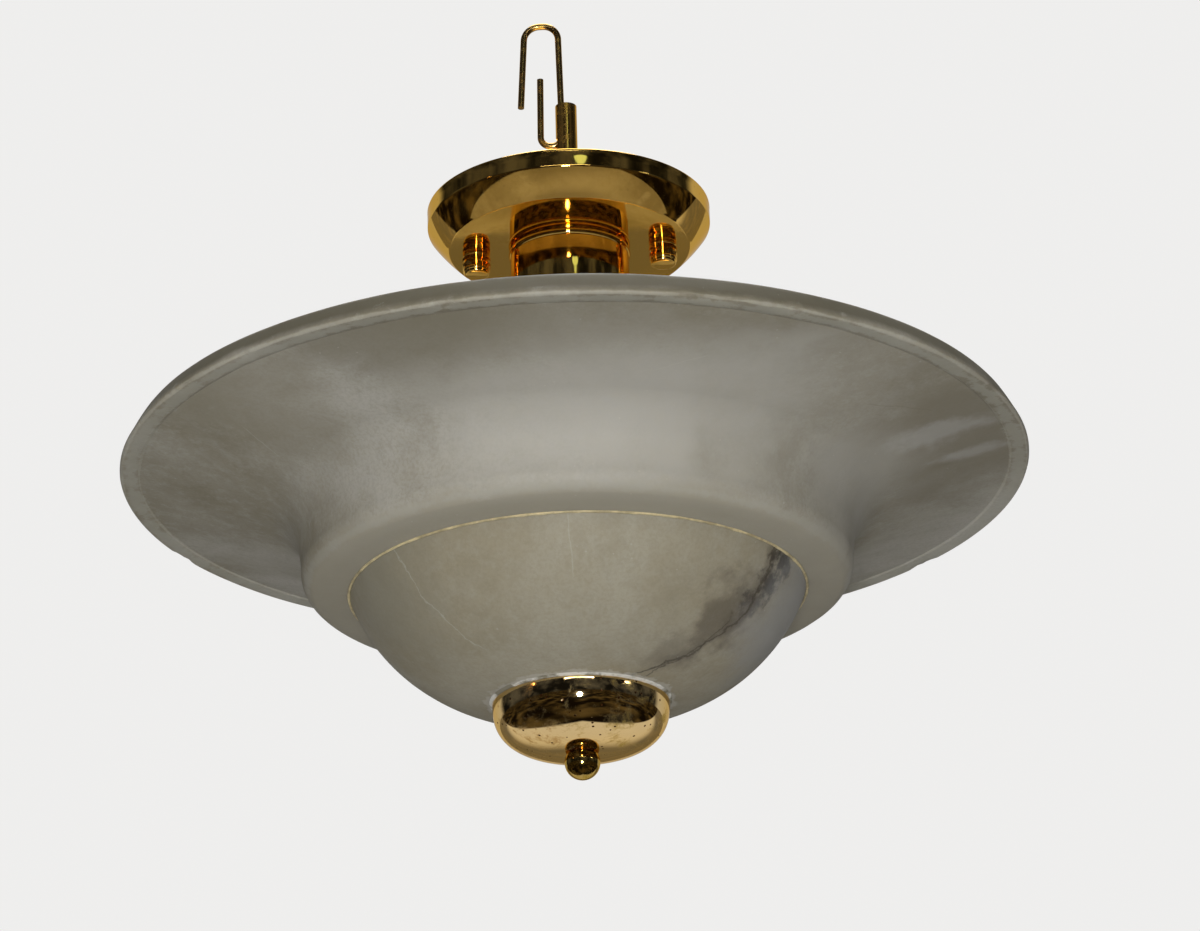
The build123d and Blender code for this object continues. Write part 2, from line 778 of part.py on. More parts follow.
with BuildPart() as bottom_cap:
    with BuildSketch(Plane.XZ):
        with BuildLine():
            outer_curve = cap_curve(0)
            inner_curve = cap_curve(cap_wall)
            Spline(*outer_curve, tangents=((0, -1), (-1, 0)))
            Line(outer_curve[-1], inner_curve[-1])
            Spline(*reversed(inner_curve), tangents=((1, 0), (0, 1)))
            Line(inner_curve[0], outer_curve[0])
        make_face()
    revolve(axis=Axis.Z)
    with BuildSketch(level(cap_bottom)):
        Circle(cap_hole)
    extrude(amount=cap_depth, mode=Mode.SUBTRACT)
bottom_cap.part.label = "bottom_cap"
export_step(bottom_cap.part, "parts/bottom_cap.step")

washer_radius = 9.0
washer_thickness = 1.5
washer_gap = 0.2
washer_low = cap_bottom + cap_wall + washer_gap

with BuildPart() as cap_washer:
    extrude(ring_face(level(washer_low), cap_hole, washer_radius), washer_thickness)
cap_washer.part.label = "cap_washer"
export_step(cap_washer.part, "parts/cap_washer.step")

finial_neck = 6.4
finial_neck_height = 0.7
finial_thread_depth = 8.0
finial_neck_low = seat_z - finial_neck_height
finial_shoulder = sqrt(ball_radius ** 2 - (finial_neck_low - ball_z) ** 2)
ball_low = ball_z - ball_radius

with BuildPart() as finial:
    with BuildSketch(Plane.XZ):
        with BuildLine():
            Line((0, seat_z), (finial_neck, seat_z))
            Line((finial_neck, seat_z), (finial_neck, finial_neck_low))
            Line((finial_neck, finial_neck_low), (finial_shoulder, finial_neck_low))
            ThreePointArc(
                (finial_shoulder, finial_neck_low), (ball_radius, ball_z), (0, ball_low),
            )
            Line((0, ball_low), (0, seat_z))
        make_face()
    revolve(axis=Axis.Z)
    with BuildSketch(level(seat_z - finial_thread_depth)):
        Circle(rod_radius + thread_play)
    extrude(amount=finial_thread_depth, mode=Mode.SUBTRACT)
finial.part.label = "finial"
export_step(finial.part, "parts/finial.step")
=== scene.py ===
# %% [markdown]
# # A turned alabaster ceiling light
# The lamp is a wide stone bowl, turned on a lathe in two pieces and glued, that
# hangs under a polished brass canopy.  Everything here is in metres, in the same
# frame as the engineering model: the lamp's axis is Z and the ceiling is z = 0.

# %% Load the frame
from math import atan2, cos, hypot, pi, radians, sin, sqrt

import bpy
from mathutils import Matrix, Vector


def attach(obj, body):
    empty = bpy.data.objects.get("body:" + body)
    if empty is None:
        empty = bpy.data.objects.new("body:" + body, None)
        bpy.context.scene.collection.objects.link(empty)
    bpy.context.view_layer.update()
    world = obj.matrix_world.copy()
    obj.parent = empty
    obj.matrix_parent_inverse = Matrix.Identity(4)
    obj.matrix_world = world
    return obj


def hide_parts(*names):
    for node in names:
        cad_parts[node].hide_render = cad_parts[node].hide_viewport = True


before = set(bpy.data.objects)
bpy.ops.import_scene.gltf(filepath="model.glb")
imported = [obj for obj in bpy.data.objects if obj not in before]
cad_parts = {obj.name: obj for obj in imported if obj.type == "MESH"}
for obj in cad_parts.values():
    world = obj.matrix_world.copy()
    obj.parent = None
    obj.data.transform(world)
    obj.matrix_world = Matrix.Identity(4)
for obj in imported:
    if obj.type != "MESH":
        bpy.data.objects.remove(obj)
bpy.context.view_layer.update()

# %% [markdown]
# ## Helpers for turned work
# Nearly every piece was made by spinning: the stone on a stone lathe, the brass
# over a wooden former.  A half outline is drawn point by point with extrude and
# spun once round the axis, which is how the real piece got its shape as well.
# Outlines are written in millimetres, because that is how the piece is measured.

# %% Small helpers
MM = 0.001
weld = 2e-6          # points closer than this, in metres, become one


def clear_selection():
    if bpy.context.mode != "OBJECT":
        bpy.ops.object.mode_set(mode="OBJECT")
    bpy.ops.object.select_all(action="DESELECT")


def arc(start, middle, end, steps):
    """Points on the circle through three points, the first one left out."""
    (ax, ay), (bx, by), (cx, cy) = start, middle, end
    d = 2 * (ax * (by - cy) + bx * (cy - ay) + cx * (ay - by))
    sa, sb, sc = ax * ax + ay * ay, bx * bx + by * by, cx * cx + cy * cy
    ux = (sa * (by - cy) + sb * (cy - ay) + sc * (ay - by)) / d
    uy = (sa * (cx - bx) + sb * (ax - cx) + sc * (bx - ax)) / d
    reach = hypot(ax - ux, ay - uy)
    first = atan2(ay - uy, ax - ux)
    full = (atan2(cy - uy, cx - ux) - first) % (2 * pi)
    half = (atan2(by - uy, bx - ux) - first) % (2 * pi)
    if half > full:
        full -= 2 * pi
    turns = [first + full * k / steps for k in range(1, steps + 1)]
    return [(ux + reach * cos(t), uy + reach * sin(t)) for t in turns]


def turned(name, outline, steps, sharp, centre=(0.0, 0.0)):
    """Draws a half outline (radius, height in mm) with extrude and spins it round."""
    cx, cy = centre
    clear_selection()
    first = Vector((cx + outline[0][0] * MM, cy, outline[0][1] * MM))
    bpy.ops.mesh.primitive_plane_add(size=MM, location=(0, 0, 0))
    piece = bpy.context.active_object
    piece.name = name
    bpy.ops.object.mode_set(mode="EDIT")
    bpy.ops.mesh.select_all(action="SELECT")
    bpy.ops.mesh.merge(type="CENTER")
    bpy.ops.transform.translate(value=first)
    points = list(outline) + [outline[0]]
    for (r0, z0), (r1, z1) in zip(points, points[1:]):
        step = ((r1 - r0) * MM, 0, (z1 - z0) * MM)
        bpy.ops.mesh.extrude_region_move(TRANSFORM_OT_translate={"value": step})
    bpy.ops.mesh.select_all(action="SELECT")
    bpy.ops.mesh.spin(steps=steps, angle=2 * pi, center=(cx, cy, 0), axis=(0, 0, 1))
    bpy.ops.mesh.select_all(action="SELECT")
    bpy.ops.mesh.remove_doubles(threshold=weld)
    bpy.ops.mesh.select_all(action="SELECT")
    bpy.ops.mesh.normals_make_consistent(inside=False)
    bpy.ops.object.mode_set(mode="OBJECT")
    bpy.ops.object.shade_smooth_by_angle(angle=radians(sharp))
    return piece


def stand_in(piece, body, slot_name, material, *nodes):
    """Gives a finished piece its body, its finish and the nodes it stands for."""
    piece.data.materials.clear()
    piece.data.materials.append(material)
    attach(piece, body)
    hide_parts(*nodes)
    low = min(v.co.z for v in piece.data.vertices) / MM
    high = max(v.co.z for v in piece.data.vertices) / MM
    print(f"{piece.name}: {len(piece.data.polygons)} faces, z {low:.1f} to {high:.1f} mm")


# %% [markdown]
# ## The camera
# The photograph was taken from below, looking up at 22 degrees with a long lens.
# The camera's place comes from the ellipses of the lip, the seam and the canopy,
# and its small roll from how far the lip's ellipse leans.

# %% Camera
camera_reach = 1.6653      # metres from the lamp's axis
camera_height = -0.8033    # metres below the ceiling
camera_orbit = radians(4.5)
camera_pitch = radians(22.108)
camera_yaw = radians(0.387)
camera_roll = radians(-1.608)

bpy.ops.object.camera_add()
camera = bpy.context.active_object
camera.name = "photo_camera"
camera.data.sensor_width = 36
camera.data.lens = 120
camera.data.clip_start = 0.05
level_part = cos(camera_pitch)
forward = Vector((sin(camera_yaw) * level_part, cos(camera_yaw) * level_part, sin(camera_pitch)))
level_right = forward.cross(Vector((0, 0, 1))).normalized()
level_up = level_right.cross(forward)
right = level_right * cos(camera_roll) + level_up * sin(camera_roll)
up = level_up * cos(camera_roll) - level_right * sin(camera_roll)
looking = Matrix((right, up, -forward)).transposed().to_4x4()
place = Matrix.Translation((0, -camera_reach, camera_height))
camera.matrix_world = Matrix.Rotation(camera_orbit, 4, "Z") @ place @ looking
bpy.context.scene.camera = camera
print("camera at", [round(v, 3) for v in camera.matrix_world.translation])

# %% [markdown]
# ## Helpers for finishes
# A finish is a little tree of nodes.  These helpers only save typing: they make a
# node and set its values, join two sockets, or add a step that comes back often,
# such as a mix, a sum, a cloud of noise, a soft step or a bump.

# %% Node helpers


def settle(node, **values):
    """Sets a node's own sockets; an underscore stands for a space in their names."""
    for key, value in values.items():
        node.inputs[key.replace("_", " ")].default_value = value


def put(tree, kind, x=0, y=0, **values):
    """Adds a node at a place, and sets its settings and sockets."""
    made = tree.nodes.new(kind)
    made.location = (x, y)
    for key, value in values.items():
        if hasattr(made, key):
            setattr(made, key, value)
        else:
            settle(made, **{key: value})
    return made


def join(tree, source, target):
    tree.links.new(source, target)


def feed(tree, value, socket):
    """Joins a socket to another one, or writes a plain value into it."""
    if isinstance(value, bpy.types.NodeSocket):
        join(tree, value, socket)
    elif value is not None:
        socket.default_value = value


def new_group(name, inputs, outputs):
    """An empty node group, with what it is given and what it puts out."""
    group = bpy.data.node_groups.new(name, "ShaderNodeTree")
    kinds = {"value": "NodeSocketFloat", "vector": "NodeSocketVector"}
    for socket, kind, default in inputs:
        made = group.interface.new_socket(name=socket, in_out="INPUT", socket_type=kinds[kind])
        if default is not None:
            made.default_value = default
    for socket, kind in outputs:
        group.interface.new_socket(name=socket, in_out="OUTPUT", socket_type=kinds[kind])
    start, end = put(group, "NodeGroupInput", -900), put(group, "NodeGroupOutput", 900)
    return group, start.outputs, end.inputs


def use_group(tree, group, where, x=0, y=0, **values):
    """Places a group in a finish and lays its pattern over the given points."""
    made = put(tree, "ShaderNodeGroup", x, y, node_tree=group)
    settle(made, **values)
    join(tree, where, made.inputs["Vector"])
    return made.outputs[0]


def new_finish(name):
    """A material with its tree, its shader and the points of the surface."""
    finish = bpy.data.materials.new(name)
    finish.use_nodes = True
    tree = finish.node_tree
    shader = tree.nodes["Principled BSDF"]
    where = put(tree, "ShaderNodeTexCoord", -1400).outputs["Object"]
    return finish, tree, shader, where


def mixed(tree, factor, first, second, x=0, y=0):
    """Mixes two colours by a factor; each may be a socket or a plain value."""
    made = put(tree, "ShaderNodeMix", x, y, data_type="RGBA")
    for slot, value in ((0, factor), (6, first), (7, second)):
        feed(tree, value, made.inputs[slot])
    return made.outputs[2]


def chosen(tree, factor, first, second, x=0, y=0):
    """Mixes two numbers by a factor."""
    made = put(tree, "ShaderNodeMix", x, y, data_type="FLOAT")
    for slot, value in ((0, factor), (2, first), (3, second)):
        feed(tree, value, made.inputs[slot])
    return made.outputs[0]


def sums(tree, operation, first, second=None, x=0, y=0, clamp=False):
    """One Math node; each operand may be a socket or a number."""
    made = put(tree, "ShaderNodeMath", x, y, operation=operation, use_clamp=clamp)
    feed(tree, first, made.inputs[0])
    feed(tree, second, made.inputs[1])
    return made.outputs[0]


def vectors(tree, operation, first, second=None, x=0, y=0):
    """One Vector Math node, and the kind of answer that its operation gives."""
    made = put(tree, "ShaderNodeVectorMath", x, y, operation=operation)
    feed(tree, first, made.inputs[0])
    feed(tree, second, made.inputs[1])
    gives_number = operation in ("LENGTH", "DISTANCE", "DOT_PRODUCT")
    return made.outputs["Value" if gives_number else "Vector"]


def length(tree, first, second, x=0, y=0):
    """How far a point lies along two directions at once."""
    squares = [sums(tree, "MULTIPLY", part, part, x, y - 60 * k)
               for k, part in enumerate((first, second))]
    return sums(tree, "SQRT", sums(tree, "ADD", *squares, x + 120, y), None, x + 240, y)


def span(tree, value, low, high, x=0, y=0, to=(0.0, 1.0)):
    """A soft step of a value from low to high."""
    made = put(tree, "ShaderNodeMapRange", x, y, interpolation_type="SMOOTHSTEP")
    join(tree, value, made.inputs["Value"])
    settle(made, From_Min=low, From_Max=high, To_Min=to[0], To_Max=to[1])
    return made.outputs["Result"]


def cloud(tree, where, scale, detail, rough=0.5, warp=0.0, x=0, y=0):
    """Cloudy noise over the given points."""
    made = put(tree, "ShaderNodeTexNoise", x, y, Detail=detail, Roughness=rough, Distortion=warp)
    join(tree, where, made.inputs["Vector"])
    feed(tree, scale, made.inputs["Scale"])
    return made.outputs["Fac"]


def raised(tree, shader, height, strength, x=0, y=0):
    """Turns a height in metres into small bumps on the surface."""
    bump = put(tree, "ShaderNodeBump", x, y, Strength=strength, Distance=1.0)
    join(tree, height, bump.inputs["Height"])
    join(tree, bump.outputs["Normal"], shader.inputs["Normal"])


# %% [markdown]
# ## Effects that several finishes share
# `soft patch` is a cloudy spot around a point, for the milky and the brown places
# in the stone, and for a painted highlight of milky spots on the front of the crown.
# `vein sheet` is a thin warped sheet through the block: where the turned surface cuts
# the sheet, a vein shows, as it does in real stone.  `fine specks` is scattered dust,
# pits and tiny chips.  `lathe band` marks a ring on turned work, such as a handled
# edge or a rubbed corner; on the brim it also paints shade on the lip's outer flank
# and painted highlights along the lip's chipped edges and the crown's rounded foot.
# Each is a node group, so that it is built once and every finish gives it its own numbers.

# %% Shared groups


def wandering(tree, given, detail, rough, amount, x, y):
    """Noise about zero times an amount, which makes an edge or a line wander."""
    noise = cloud(tree, given["Vector"], given["Grain"], detail, rough, x=x, y=y)
    centred = sums(tree, "SUBTRACT", noise, 0.5, x + 200, y)
    return sums(tree, "MULTIPLY", centred, amount, x + 350, y)


patch, given, result = new_group(
    "soft patch",
    [("Vector", "vector", None), ("Centre", "vector", None), ("Stretch", "vector", (1, 1, 1)),
     ("Radius", "value", 0.04), ("Roughen", "value", 0.5), ("Grain", "value", 30.0)],
    [("Mask", "value")],
)
apart = vectors(patch, "SUBTRACT", given["Vector"], given["Centre"], -600)
apart = vectors(patch, "MULTIPLY", apart, given["Stretch"], -450)
away = vectors(patch, "LENGTH", apart, None, -300)
away = sums(patch, "DIVIDE", away, given["Radius"], -150)
ragged = wandering(patch, given, 6.0, 0.6, given["Roughen"], -450, -250)
edge = sums(patch, "ADD", away, ragged, 150)
join(patch, span(patch, edge, 1.0, 0.25, 300), result["Mask"])

vein, given, result = new_group(
    "vein sheet",
    [("Vector", "vector", None), ("Normal", "vector", (0, 1, 0)), ("Through", "vector", None),
     ("Centre", "vector", None), ("Length", "value", 0.06), ("Width", "value", 0.001),
     ("Wander", "value", 0.006), ("Grain", "value", 40.0)],
    [("Line", "value")],
)
from_sheet = vectors(vein, "SUBTRACT", given["Vector"], given["Through"], -700)
from_sheet = vectors(vein, "DOT_PRODUCT", from_sheet, given["Normal"], -550)
ragged = wandering(vein, given, 8.0, 0.62, given["Wander"], -750, -300)
from_sheet = sums(vein, "ADD", from_sheet, ragged, -250)
from_sheet = sums(vein, "ABSOLUTE", from_sheet, None, -100)
line = span(vein, sums(vein, "DIVIDE", from_sheet, given["Width"], 50), 1.0, 0.15, 200)
from_centre = vectors(vein, "DISTANCE", given["Vector"], given["Centre"], -700, 300)
along = sums(vein, "DIVIDE", from_centre, given["Length"], -300, 300)
fade = span(vein, along, 1.0, 0.7, 0, 300)
join(vein, sums(vein, "MULTIPLY", line, fade, 400), result["Line"])

specks, given, result = new_group(
    "fine specks",
    [("Vector", "vector", None), ("Scale", "value", 400.0), ("Size", "value", 0.2),
     ("Rarity", "value", 0.6)],
    [("Mask", "value")],
)
cells = put(specks, "ShaderNodeTexVoronoi", -500, feature="F1")
join(specks, given["Vector"], cells.inputs["Vector"])
join(specks, given["Scale"], cells.inputs["Scale"])
dot = sums(specks, "LESS_THAN", cells.outputs["Distance"], given["Size"], -250)
pick = put(specks, "ShaderNodeSeparateColor", -300, -200)
join(specks, cells.outputs["Color"], pick.inputs[0])
kept = sums(specks, "GREATER_THAN", pick.outputs[0], given["Rarity"], -100, -200)
join(specks, sums(specks, "MULTIPLY", dot, kept, 100), result["Mask"])

band, given, result = new_group(
    "lathe band",
    [("Vector", "vector", None), ("Radius", "value", 0.2), ("Height", "value", -0.13),
     ("Reach", "value", 0.001), ("Roughen", "value", 0.5), ("Grain", "value", 300.0)],
    [("Mask", "value")],
)
axes = put(band, "ShaderNodeSeparateXYZ", -750)
join(band, given["Vector"], axes.inputs[0])
radius_here = length(band, axes.outputs["X"], axes.outputs["Y"], -600, 200)
off_radius = sums(band, "SUBTRACT", radius_here, given["Radius"], -250, 200)
off_height = sums(band, "SUBTRACT", axes.outputs["Z"], given["Height"], -250, 0)
away = length(band, off_radius, off_height, -100, 100)
away = sums(band, "DIVIDE", away, given["Reach"], 250, 100)
ragged = wandering(band, given, 5.0, 0.7, given["Roughen"], -250, -300)
edge = sums(band, "ADD", away, ragged, 400)
join(band, span(band, edge, 1.0, 0.35, 550), result["Mask"])
print("groups", [g.name for g in bpy.data.node_groups])

# %% [markdown]
# ## The alabaster
# Alabaster is soft, cloudy and a little see-through, so light sinks in and comes
# out again nearby.  It was honed and waxed, not polished: a broad satin sheen with
# no sharp highlight.  Two blocks were used, and their clouds don't meet at the
# seam, so brim and dome share one recipe with their own numbers.

# %% Stone recipe
pore_depth = 0.00004
stone_dust = (0.60, 0.58, 0.52, 1)


def tinted(tree, where, colour, group, strength, tint, x, y, **values):
    """Lays a tint over a colour where a group's mask says."""
    mask = use_group(tree, group, where, x, y, **values)
    factor = sums(tree, "MULTIPLY", mask, strength, x + 200, y)
    return mixed(tree, factor, colour, tint, x + 350, y)


def stone_finish(name, base, milky, olive, shift, spots, veins, bands):
    finish, tree, shader, where = new_finish(name)
    facing_photo = put(tree, "ShaderNodeMapping", -1300, -300, Rotation=(0, 0, -camera_orbit))
    join(tree, where, facing_photo.inputs["Vector"])
    where = facing_photo.outputs["Vector"]
    moved = put(tree, "ShaderNodeMapping", -1200, Location=shift)
    join(tree, where, moved.inputs["Vector"])
    block = moved.outputs["Vector"]
    large = cloud(tree, block, 7.0, 5.0, 0.55, 0.6, -1000, 300)
    middle = cloud(tree, block, 26.0, 8.0, 0.62, 0.4, -1000, 0)
    mottle = cloud(tree, block, 68.0, 7.0, 0.7, 0.8, -1000, -300)
    small = cloud(tree, block, 160.0, 6.0, 0.7, 0.0, -1000, -600)
    powder = cloud(tree, block, 620.0, 3.0, 0.7, 0.0, -1000, -900)
    layers = (
        (large, 0.38, 0.66, 1.0, milky),
        (middle, 0.50, 0.74, 0.34, olive),
        (mottle, 0.46, 0.68, 0.20, olive),
        (small, 0.45, 0.70, 0.34, milky),
        (powder, 0.40, 0.65, 0.22, olive),
    )
    colour = base
    for k, (noise, low, high, share, tint) in enumerate(layers):
        factor = span(tree, noise, low, high, -800, 300 - 300 * k, (0.0, share))
        colour = mixed(tree, factor, colour, tint, -600 + 90 * k, 300)
    for k, (centre, stretch, radius, tint, strength, *rag) in enumerate(spots):
        roughen, grain = rag or (1.1, 30.0)
        colour = tinted(tree, where, colour, patch, strength, tint, -100, -600 - 150 * k,
                        Centre=centre, Stretch=stretch, Radius=radius,
                        Roughen=roughen, Grain=grain)
    for k, (normal, through, centre, run, width, wander, grain, tint, strength) in enumerate(veins):
        colour = tinted(tree, where, colour, vein, strength, tint, 300, -600 - 200 * k,
                        Normal=normal, Through=through, Centre=centre, Length=run,
                        Width=width, Wander=wander, Grain=grain)
    for k, (radius, level, reach, roughen, grain, tint, strength) in enumerate(bands):
        colour = tinted(tree, where, colour, band, strength, tint, 300, 700 + 200 * k,
                        Radius=radius, Height=level, Reach=reach,
                        Roughen=roughen, Grain=grain)
    colour = tinted(tree, where, colour, specks, 0.22, stone_dust, -500, 600,
                    Scale=260.0, Size=0.12, Rarity=0.93)
    join(tree, colour, shader.inputs["Base Color"])
    shine = span(tree, middle, 0.35, 0.7, -300, -400, (0.54, 0.70))
    join(tree, shine, shader.inputs["Roughness"])
    pores = sums(tree, "MULTIPLY", small, pore_depth, -300, -200)
    raised(tree, shader, pores, 0.5, 300, -300)
    settle(shader, Subsurface_Weight=0.25, Subsurface_Radius=(1.0, 0.85, 0.6),
           Subsurface_Scale=0.006, IOR=1.52, Specular_IOR_Level=0.30)
    return finish


# %% [markdown]
# Each stone has three lists.  A spot is its centre, how it is squeezed along X, Y and
# Z, its radius, its tint and how strong it is, and for a ragged one also how ragged
# and how fine.  A vein is the sheet's direction, a point on it, where the vein is
# centred, how far it runs, its width, how far it wanders, how fine, its tint and its
# strength.  A band is its radius and height, how far it reaches, how ragged, how
# fine, its tint and its strength.  All lengths are in metres.

# %% The two stones
grey_stone = (0.275, 0.250, 0.188, 1)
# the stone's own milky tone, also laid on the front of the crown as a painted sheen
milky_stone_and_painted_sheen = (0.450, 0.432, 0.385, 1)
olive_stone = (0.195, 0.172, 0.115, 1)
shade_stone = (0.205, 0.185, 0.135, 1)
brown_stone = (0.10, 0.082, 0.06, 1)
ink_stone = (0.030, 0.024, 0.018, 1)
streak_white = (0.50, 0.49, 0.47, 1)
vein_white = (0.50, 0.49, 0.43, 1)

brim_stone = stone_finish(
    "brim_stone", grey_stone, milky_stone_and_painted_sheen, olive_stone, (0.31, 0.17, 0.05),
    spots=[
        ((0.165, -0.050, -0.138), (1, 0.7, 1), 0.075, (0.215, 0.192, 0.140, 1), 0.85),
        ((-0.075, -0.168, -0.137), (0.5, 1, 1), 0.045, shade_stone, 0.75),
        ((0.085, -0.160, -0.137), (0.6, 1, 1), 0.035, shade_stone, 0.6),
        # painted highlight: these two milky spots lighten the front of the crown wall, where the
        # key light's sheen falls
        ((0.018, -0.138, -0.160), (0.62, 1, 1.1), 0.070, milky_stone_and_painted_sheen, 0.85),
        ((0.070, -0.125, -0.150), (0.8, 1, 1), 0.070, milky_stone_and_painted_sheen, 0.55),
        ((0.120, -0.040, -0.156), (1, 1, 1), 0.055, milky_stone_and_painted_sheen, 0.6),
        ((0.160, -0.060, -0.140), (0.9, 1.8, 1), 0.026, streak_white, 0.42, 1.8, 60.0),
        ((0.177, -0.030, -0.137), (1, 2, 1), 0.018, streak_white, 0.40, 1.8, 60.0),
        ((-0.117, -0.094, -0.145), (1, 1, 1), 0.035, olive_stone, 0.35),
        ((-0.140, -0.118, -0.136), (1, 1, 1), 0.060, grey_stone, 0.6),
        ((0.0, -0.195, -0.134), (0.35, 1, 1), 0.055, olive_stone, 0.45),
    ],
    veins=[
        ((0.80, -0.45, 0.4), (-0.135, -0.075, -0.140), (-0.135, -0.075, -0.140),
         0.016, 0.0003, 0.003, 80.0, vein_white, 0.35),
        ((0.30, 0.90, -0.3), (0.045, -0.150, -0.143), (0.045, -0.150, -0.143),
         0.013, 0.0003, 0.003, 90.0, vein_white, 0.35),
        ((-0.50, 0.80, 0.2), (0.140, -0.090, -0.140), (0.140, -0.090, -0.140),
         0.020, 0.0003, 0.004, 70.0, (0.19, 0.17, 0.12, 1), 0.45),
    ],
    bands=[
        # painted shade: a dark olive ring on the lip's outer flank, which faces up and away from
        # the key light
        (0.2012, -0.1266, 0.0072, 0.9, 40.0, (0.118, 0.104, 0.064, 1), 0.85),
        (0.1985, -0.1346, 0.0042, 4.0, 110.0, (0.42, 0.41, 0.35, 1), 0.50),
        # partly worn, chipped edge and partly painted highlight: pale thin lines along the lip's
        # inner step and its rounded lower edge
        (0.1944, -0.1342, 0.0006, 5.0, 40.0, (0.50, 0.48, 0.40, 1), 0.28),
        (0.2026, -0.1340, 0.0013, 2.8, 45.0, (0.52, 0.50, 0.43, 1), 0.36),
        (0.1110, -0.1880, 0.0170, 1.0, 60.0, (0.36, 0.332, 0.262, 1), 0.85),
        # painted highlight: a pale thin line along the crown's rounded foot, just above the ledge
        (0.1210, -0.1850, 0.0030, 2.4, 90.0, (0.42, 0.405, 0.35, 1), 0.45),
    ],
)
dome_stone = stone_finish(
    "dome_stone", (0.325, 0.288, 0.205, 1), (0.40, 0.375, 0.30, 1), (0.23, 0.203, 0.135, 1),
    (-0.2, 0.4, 0.1),
    spots=[
        ((0.062, -0.051, -0.219), (1, 1, 0.8), 0.024, brown_stone, 0.62, 2.0, 70.0),
        ((0.040, -0.042, -0.233), (1, 1, 1.2), 0.017, brown_stone, 0.35, 2.0, 80.0),
        ((0.0885, -0.0452, -0.1915), (1, 1, 1), 0.0110, ink_stone, 1.0, 2.8, 170.0),
        ((0.0825, -0.0456, -0.2015), (1, 1, 1), 0.0110, ink_stone, 1.0, 2.8, 170.0),
        ((0.0745, -0.0456, -0.2110), (1, 1, 1), 0.0095, (0.045, 0.036, 0.028, 1), 0.85, 3.0, 170.0),
        ((-0.085, -0.045, -0.205), (1, 1, 0.7), 0.045, (0.25, 0.235, 0.18, 1), 0.6),
        ((0.095, 0.0, -0.205), (1, 0.7, 1), 0.05, (0.36, 0.355, 0.34, 1), 0.8),
    ],
    veins=[
        ((0.10, 0.97, 0.20), (0.0694, -0.0452, -0.2163), (0.062, -0.042, -0.215),
         0.062, 0.0010, 0.016, 60.0, (0.055, 0.045, 0.035, 1), 0.75),
        ((0.10, 0.97, 0.20), (0.0694, -0.0460, -0.2163), (0.070, -0.045, -0.210),
         0.050, 0.005, 0.022, 60.0, brown_stone, 0.45),
        ((0.35, 0.93, 0.05), (0.045, -0.0390, -0.2310), (0.045, -0.039, -0.231),
         0.030, 0.0007, 0.012, 75.0, (0.075, 0.062, 0.046, 1), 0.65),
        ((0.38, -0.92, 0.0), (-0.0656, -0.0587, -0.2106), (-0.066, -0.056, -0.208),
         0.040, 0.0005, 0.011, 75.0, (0.52, 0.51, 0.44, 1), 0.38),
        ((0.99, 0.05, 0.1), (-0.003, -0.097, -0.197), (-0.003, -0.097, -0.197),
         0.022, 0.0004, 0.004, 60.0, (0.5, 0.49, 0.42, 1), 0.3),
    ],
    bands=[(0.0402, -0.2386, 0.0022, 5.0, 130.0, (0.55, 0.54, 0.49, 1), 0.55)],
)
print("stone finishes", brim_stone.name, dome_stone.name)

# %% [markdown]
# ## Polished brass
# The fittings are spun brass under clear lacquer.  Polished metal has almost no
# colour of its own: it shows what stands round it.  The cap low on the lamp has
# lost its lacquer in places, so it gets clouded spots and small brown pits, and
# the canopy stays bright.  A clouded spot is a film on the metal, so it is a little
# less metallic there as well as rougher.

# %% Brass finish
straw_film = (0.50, 0.33, 0.035, 1)
copper_film = (0.42, 0.15, 0.012, 1)
pit_brown = (0.09, 0.035, 0.012, 1)
ripple_height = 0.00010
pit_depth = 0.00004


def brass_finish(name, tone, rough, tarnish, pits):
    finish, tree, shader, where = new_finish(name)
    bloom = cloud(tree, where, 95.0, 9.0, 0.72, 0.4, -1000, 200)
    film = cloud(tree, where, 14.0, 3.0, x=-1000, y=-100)
    ripple = cloud(tree, where, 38.0, 2.0, x=-1000, y=-400)
    clouded = span(tree, bloom, 0.50, 0.68, -800, 200)
    clouded = sums(tree, "MULTIPLY", clouded, tarnish, -600, 200)
    film_tone = span(tree, film, 0.42, 0.6, -700, 350)
    film_tone = mixed(tree, film_tone, straw_film, copper_film, -500, 350)
    colour = mixed(tree, clouded, tone, film_tone, -400, 200)
    dots = use_group(tree, specks, where, -800, 500, Scale=420.0, Size=0.24, Rarity=0.86)
    pitted = sums(tree, "MULTIPLY", dots, pits, -600, 500)
    colour = mixed(tree, pitted, colour, pit_brown, -200, 200)
    join(tree, colour, shader.inputs["Base Color"])
    haze = sums(tree, "MULTIPLY", clouded, 0.30, -200, 0)
    polish = span(tree, film, 0.3, 0.8, -600, -100, (rough, rough + 0.05))
    haze = sums(tree, "ADD", haze, polish, 0, 0)
    pit_haze = sums(tree, "MULTIPLY", pitted, 0.4, -200, -100)
    haze = sums(tree, "ADD", haze, pit_haze, 150, 0, clamp=True)
    join(tree, haze, shader.inputs["Roughness"])
    height = sums(tree, "MULTIPLY", ripple, ripple_height, -500, -400)
    sunk = sums(tree, "MULTIPLY", pitted, pit_depth, -300, -250)
    height = sums(tree, "SUBTRACT", height, sunk, -100, -400)
    raised(tree, shader, height, 0.35, 200, -400)
    covered = sums(tree, "MULTIPLY", clouded, 0.22, -200, -600)
    bare = sums(tree, "SUBTRACT", 1.0, covered, 0, -600)
    join(tree, bare, shader.inputs["Metallic"])
    settle(shader, Specular_Tint=(1.0, 0.78, 0.42, 1))
    return finish


